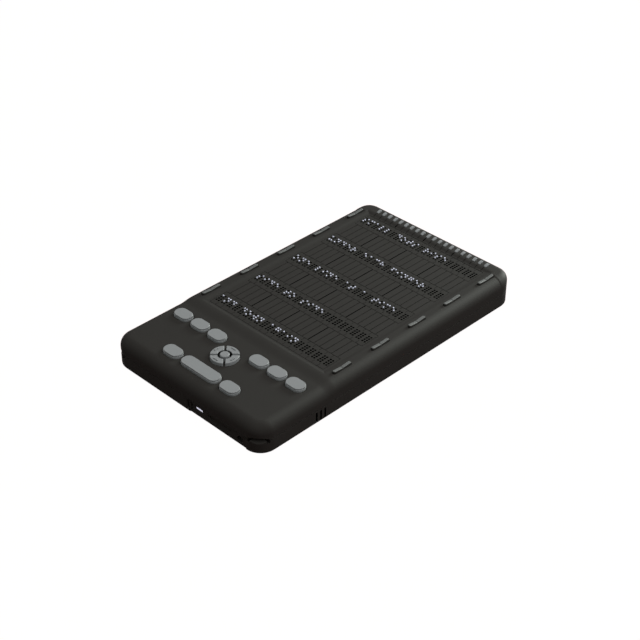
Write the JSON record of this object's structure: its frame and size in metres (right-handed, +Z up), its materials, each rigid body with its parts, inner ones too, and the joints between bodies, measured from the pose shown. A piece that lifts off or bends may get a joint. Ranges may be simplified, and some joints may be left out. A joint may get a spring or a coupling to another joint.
{
  "type": "braille notetaker",
  "caption": "Slab-shaped braille notetaker: a two-part case with lines of raised-dot cells, panning rockers, routing keys, a chorded keyboard and an arrow pad.",
  "frame": {"origin": "under the middle of the case, on the surface that the feet stand on", "axes": "+X to the right of the person reading, +Y away from the reader towards the routing keys, +Z up"},
  "size_m": [0.1708, 0.2936, 0.0306],
  "materials": {
    "charcoal_plastic": "finely textured charcoal moulding, satin",
    "cap_plastic": "smooth charcoal moulding",
    "dot_plastic": "polished pale lavender-white pins",
    "key_plastic": "fine satin mid grey",
    "rocker_plastic": "satin mid grey",
    "black_plastic": "satin black",
    "board_green": "green solder mask on laminate",
    "battery_wrap": "blue shrink wrap"
  },
  "bodies": {
    "case": {"upper_housing": "charcoal_plastic", "lower_housing": "charcoal_plastic", "braille_cap_1": "cap_plastic", "braille_cap_2": "cap_plastic", "braille_cap_3": "cap_plastic", "braille_cap_4": "cap_plastic", "braille_cap_5": "cap_plastic", "main_board": "board_green", "keypad_board": "board_green", "battery_pack": "battery_wrap"},
    "dot_comb_1": {"dot_comb_1": "dot_plastic"},
    "dot_comb_2": {"dot_comb_2": "dot_plastic"},
    "dot_comb_3": {"dot_comb_3": "dot_plastic"},
    "dot_comb_4": {"dot_comb_4": "dot_plastic"},
    "dot_comb_5": {"dot_comb_5": "dot_plastic"},
    "dot_key_1": {"dot_key_1": "key_plastic"},
    "dot_key_2": {"dot_key_2": "key_plastic"},
    "dot_key_3": {"dot_key_3": "key_plastic"},
    "dot_key_4": {"dot_key_4": "key_plastic"},
    "dot_key_5": {"dot_key_5": "key_plastic"},
    "dot_key_6": {"dot_key_6": "key_plastic"},
    "dot_key_7": {"dot_key_7": "key_plastic"},
    "dot_key_8": {"dot_key_8": "key_plastic"},
    "space_bar": {"space_bar": "key_plastic"},
    "arrow_up": {"arrow_up": "key_plastic"},
    "arrow_left": {"arrow_left": "key_plastic"},
    "arrow_down": {"arrow_down": "key_plastic"},
    "arrow_right": {"arrow_right": "key_plastic"},
    "select_key": {"select_key": "key_plastic"},
    "panning_rocker_left_1": {"panning_rocker_left_1": "rocker_plastic"},
    "panning_rocker_left_2": {"panning_rocker_left_2": "rocker_plastic"},
    "panning_rocker_left_3": {"panning_rocker_left_3": "rocker_plastic"},
    "panning_rocker_left_4": {"panning_rocker_left_4": "rocker_plastic"},
    "panning_rocker_left_5": {"panning_rocker_left_5": "rocker_plastic"},
    "panning_rocker_right_1": {"panning_rocker_right_1": "rocker_plastic"},
    "panning_rocker_right_2": {"panning_rocker_right_2": "rocker_plastic"},
    "panning_rocker_right_3": {"panning_rocker_right_3": "rocker_plastic"},
    "panning_rocker_right_4": {"panning_rocker_right_4": "rocker_plastic"},
    "panning_rocker_right_5": {"panning_rocker_right_5": "rocker_plastic"},
    "routing_key_1": {"routing_key_1": "rocker_plastic"},
    "routing_key_2": {"routing_key_2": "rocker_plastic"},
    "routing_key_3": {"routing_key_3": "rocker_plastic"},
    "routing_key_4": {"routing_key_4": "rocker_plastic"},
    "routing_key_5": {"routing_key_5": "rocker_plastic"},
    "routing_key_6": {"routing_key_6": "rocker_plastic"},
    "routing_key_7": {"routing_key_7": "rocker_plastic"},
    "routing_key_8": {"routing_key_8": "rocker_plastic"},
    "routing_key_9": {"routing_key_9": "rocker_plastic"},
    "routing_key_10": {"routing_key_10": "rocker_plastic"},
    "routing_key_11": {"routing_key_11": "rocker_plastic"},
    "routing_key_12": {"routing_key_12": "rocker_plastic"},
    "routing_key_13": {"routing_key_13": "rocker_plastic"},
    "routing_key_14": {"routing_key_14": "rocker_plastic"},
    "routing_key_15": {"routing_key_15": "rocker_plastic"},
    "routing_key_16": {"routing_key_16": "rocker_plastic"},
    "routing_key_17": {"routing_key_17": "rocker_plastic"},
    "routing_key_18": {"routing_key_18": "rocker_plastic"},
    "routing_key_19": {"routing_key_19": "rocker_plastic"},
    "routing_key_20": {"routing_key_20": "rocker_plastic"},
    "power_switch": {"power_switch": "black_plastic"}
  },
  "joints": [
    {"name": "dot_comb_1_drop", "type": "slide", "parent": "case", "child": "dot_comb_1", "axis": [0, 0, -1], "range_m": [0, 0.0007], "stiffness_N_per_m": 300, "springref_m": -0.001},
    {"name": "dot_comb_2_drop", "type": "slide", "parent": "case", "child": "dot_comb_2", "axis": [0, 0, -1], "range_m": [0, 0.0007], "stiffness_N_per_m": 300, "springref_m": -0.001},
    {"name": "dot_comb_3_drop", "type": "slide", "parent": "case", "child": "dot_comb_3", "axis": [0, 0, -1], "range_m": [0, 0.0007], "stiffness_N_per_m": 300, "springref_m": -0.001},
    {"name": "dot_comb_4_drop", "type": "slide", "parent": "case", "child": "dot_comb_4", "axis": [0, 0, -1], "range_m": [0, 0.0007], "stiffness_N_per_m": 300, "springref_m": -0.001},
    {"name": "dot_comb_5_drop", "type": "slide", "parent": "case", "child": "dot_comb_5", "axis": [0, 0, -1], "range_m": [0, 0.0007], "stiffness_N_per_m": 300, "springref_m": -0.001},
    {"name": "dot_key_1_press", "type": "slide", "parent": "case", "child": "dot_key_1", "axis": [0, 0, -1], "range_m": [0, 0.001], "stiffness_N_per_m": 300, "springref_m": -0.001},
    {"name": "dot_key_2_press", "type": "slide", "parent": "case", "child": "dot_key_2", "axis": [0, 0, -1], "range_m": [0, 0.001], "stiffness_N_per_m": 300, "springref_m": -0.001},
    {"name": "dot_key_3_press", "type": "slide", "parent": "case", "child": "dot_key_3", "axis": [0, 0, -1], "range_m": [0, 0.001], "stiffness_N_per_m": 300, "springref_m": -0.001},
    {"name": "dot_key_4_press", "type": "slide", "parent": "case", "child": "dot_key_4", "axis": [0, 0, -1], "range_m": [0, 0.001], "stiffness_N_per_m": 300, "springref_m": -0.001},
    {"name": "dot_key_5_press", "type": "slide", "parent": "case", "child": "dot_key_5", "axis": [0, 0, -1], "range_m": [0, 0.001], "stiffness_N_per_m": 300, "springref_m": -0.001},
    {"name": "dot_key_6_press", "type": "slide", "parent": "case", "child": "dot_key_6", "axis": [0, 0, -1], "range_m": [0, 0.001], "stiffness_N_per_m": 300, "springref_m": -0.001},
    {"name": "dot_key_7_press", "type": "slide", "parent": "case", "child": "dot_key_7", "axis": [0, 0, -1], "range_m": [0, 0.001], "stiffness_N_per_m": 300, "springref_m": -0.001},
    {"name": "dot_key_8_press", "type": "slide", "parent": "case", "child": "dot_key_8", "axis": [0, 0, -1], "range_m": [0, 0.001], "stiffness_N_per_m": 300, "springref_m": -0.001},
    {"name": "space_bar_press", "type": "slide", "parent": "case", "child": "space_bar", "axis": [0, 0, -1], "range_m": [0, 0.001], "stiffness_N_per_m": 300, "springref_m": -0.001},
    {"name": "arrow_up_press", "type": "slide", "parent": "case", "child": "arrow_up", "axis": [0, 0, -1], "range_m": [0, 0.001], "stiffness_N_per_m": 300, "springref_m": -0.001},
    {"name": "arrow_left_press", "type": "slide", "parent": "case", "child": "arrow_left", "axis": [0, 0, -1], "range_m": [0, 0.001], "stiffness_N_per_m": 300, "springref_m": -0.001},
    {"name": "arrow_down_press", "type": "slide", "parent": "case", "child": "arrow_down", "axis": [0, 0, -1], "range_m": [0, 0.001], "stiffness_N_per_m": 300, "springref_m": -0.001},
    {"name": "arrow_right_press", "type": "slide", "parent": "case", "child": "arrow_right", "axis": [0, 0, -1], "range_m": [0, 0.001], "stiffness_N_per_m": 300, "springref_m": -0.001},
    {"name": "select_key_press", "type": "slide", "parent": "case", "child": "select_key", "axis": [0, 0, -1], "range_m": [0, 0.001], "stiffness_N_per_m": 300, "springref_m": -0.001},
    {"name": "routing_key_1_press", "type": "slide", "parent": "case", "child": "routing_key_1", "axis": [0, 0, -1], "range_m": [0, 0.0008], "stiffness_N_per_m": 300, "springref_m": -0.001},
    {"name": "routing_key_2_press", "type": "slide", "parent": "case", "child": "routing_key_2", "axis": [0, 0, -1], "range_m": [0, 0.0008], "stiffness_N_per_m": 300, "springref_m": -0.001},
    {"name": "routing_key_3_press", "type": "slide", "parent": "case", "child": "routing_key_3", "axis": [0, 0, -1], "range_m": [0, 0.0008], "stiffness_N_per_m": 300, "springref_m": -0.001},
    {"name": "routing_key_4_press", "type": "slide", "parent": "case", "child": "routing_key_4", "axis": [0, 0, -1], "range_m": [0, 0.0008], "stiffness_N_per_m": 300, "springref_m": -0.001},
    {"name": "routing_key_5_press", "type": "slide", "parent": "case", "child": "routing_key_5", "axis": [0, 0, -1], "range_m": [0, 0.0008], "stiffness_N_per_m": 300, "springref_m": -0.001},
    {"name": "routing_key_6_press", "type": "slide", "parent": "case", "child": "routing_key_6", "axis": [0, 0, -1], "range_m": [0, 0.0008], "stiffness_N_per_m": 300, "springref_m": -0.001},
    {"name": "routing_key_7_press", "type": "slide", "parent": "case", "child": "routing_key_7", "axis": [0, 0, -1], "range_m": [0, 0.0008], "stiffness_N_per_m": 300, "springref_m": -0.001},
    {"name": "routing_key_8_press", "type": "slide", "parent": "case", "child": "routing_key_8", "axis": [0, 0, -1], "range_m": [0, 0.0008], "stiffness_N_per_m": 300, "springref_m": -0.001},
    {"name": "routing_key_9_press", "type": "slide", "parent": "case", "child": "routing_key_9", "axis": [0, 0, -1], "range_m": [0, 0.0008], "stiffness_N_per_m": 300, "springref_m": -0.001},
    {"name": "routing_key_10_press", "type": "slide", "parent": "case", "child": "routing_key_10", "axis": [0, 0, -1], "range_m": [0, 0.0008], "stiffness_N_per_m": 300, "springref_m": -0.001},
    {"name": "routing_key_11_press", "type": "slide", "parent": "case", "child": "routing_key_11", "axis": [0, 0, -1], "range_m": [0, 0.0008], "stiffness_N_per_m": 300, "springref_m": -0.001},
    {"name": "routing_key_12_press", "type": "slide", "parent": "case", "child": "routing_key_12", "axis": [0, 0, -1], "range_m": [0, 0.0008], "stiffness_N_per_m": 300, "springref_m": -0.001},
    {"name": "routing_key_13_press", "type": "slide", "parent": "case", "child": "routing_key_13", "axis": [0, 0, -1], "range_m": [0, 0.0008], "stiffness_N_per_m": 300, "springref_m": -0.001},
    {"name": "routing_key_14_press", "type": "slide", "parent": "case", "child": "routing_key_14", "axis": [0, 0, -1], "range_m": [0, 0.0008], "stiffness_N_per_m": 300, "springref_m": -0.001},
    {"name": "routing_key_15_press", "type": "slide", "parent": "case", "child": "routing_key_15", "axis": [0, 0, -1], "range_m": [0, 0.0008], "stiffness_N_per_m": 300, "springref_m": -0.001},
    {"name": "routing_key_16_press", "type": "slide", "parent": "case", "child": "routing_key_16", "axis": [0, 0, -1], "range_m": [0, 0.0008], "stiffness_N_per_m": 300, "springref_m": -0.001},
    {"name": "routing_key_17_press", "type": "slide", "parent": "case", "child": "routing_key_17", "axis": [0, 0, -1], "range_m": [0, 0.0008], "stiffness_N_per_m": 300, "springref_m": -0.001},
    {"name": "routing_key_18_press", "type": "slide", "parent": "case", "child": "routing_key_18", "axis": [0, 0, -1], "range_m": [0, 0.0008], "stiffness_N_per_m": 300, "springref_m": -0.001},
    {"name": "routing_key_19_press", "type": "slide", "parent": "case", "child": "routing_key_19", "axis": [0, 0, -1], "range_m": [0, 0.0008], "stiffness_N_per_m": 300, "springref_m": -0.001},
    {"name": "routing_key_20_press", "type": "slide", "parent": "case", "child": "routing_key_20", "axis": [0, 0, -1], "range_m": [0, 0.0008], "stiffness_N_per_m": 300, "springref_m": -0.001},
    {"name": "panning_rocker_left_1_tilt", "type": "hinge", "parent": "case", "child": "panning_rocker_left_1", "pos_m": [-0.0753, -0.05096, 0.0248], "axis": [1, 0, 0], "range_deg": [-3, 3], "stiffness_Nm_per_rad": 0.02},
    {"name": "panning_rocker_left_2_tilt", "type": "hinge", "parent": "case", "child": "panning_rocker_left_2", "pos_m": [-0.0753, -0.00813, 0.0248], "axis": [1, 0, 0], "range_deg": [-3, 3], "stiffness_Nm_per_rad": 0.02},
    {"name": "panning_rocker_left_3_tilt", "type": "hinge", "parent": "case", "child": "panning_rocker_left_3", "pos_m": [-0.0753, 0.0347, 0.0248], "axis": [1, 0, 0], "range_deg": [-3, 3], "stiffness_Nm_per_rad": 0.02},
    {"name": "panning_rocker_left_4_tilt", "type": "hinge", "parent": "case", "child": "panning_rocker_left_4", "pos_m": [-0.0753, 0.07753, 0.0248], "axis": [1, 0, 0], "range_deg": [-3, 3], "stiffness_Nm_per_rad": 0.02},
    {"name": "panning_rocker_left_5_tilt", "type": "hinge", "parent": "case", "child": "panning_rocker_left_5", "pos_m": [-0.0753, 0.12036, 0.0248], "axis": [1, 0, 0], "range_deg": [-3, 3], "stiffness_Nm_per_rad": 0.02},
    {"name": "panning_rocker_right_1_tilt", "type": "hinge", "parent": "case", "child": "panning_rocker_right_1", "pos_m": [0.0753, -0.05096, 0.0248], "axis": [1, 0, 0], "range_deg": [-3, 3], "stiffness_Nm_per_rad": 0.02},
    {"name": "panning_rocker_right_2_tilt", "type": "hinge", "parent": "case", "child": "panning_rocker_right_2", "pos_m": [0.0753, -0.00813, 0.0248], "axis": [1, 0, 0], "range_deg": [-3, 3], "stiffness_Nm_per_rad": 0.02},
    {"name": "panning_rocker_right_3_tilt", "type": "hinge", "parent": "case", "child": "panning_rocker_right_3", "pos_m": [0.0753, 0.0347, 0.0248], "axis": [1, 0, 0], "range_deg": [-3, 3], "stiffness_Nm_per_rad": 0.02},
    {"name": "panning_rocker_right_4_tilt", "type": "hinge", "parent": "case", "child": "panning_rocker_right_4", "pos_m": [0.0753, 0.07753, 0.0248], "axis": [1, 0, 0], "range_deg": [-3, 3], "stiffness_Nm_per_rad": 0.02},
    {"name": "panning_rocker_right_5_tilt", "type": "hinge", "parent": "case", "child": "panning_rocker_right_5", "pos_m": [0.0753, 0.12036, 0.0248], "axis": [1, 0, 0], "range_deg": [-3, 3], "stiffness_Nm_per_rad": 0.02},
    {"name": "power_switch_slide", "type": "slide", "parent": "case", "child": "power_switch", "axis": [1, 0, 0], "range_m": [-0.0018, 0.0018], "stiffness_N_per_m": 200}
  ]
}
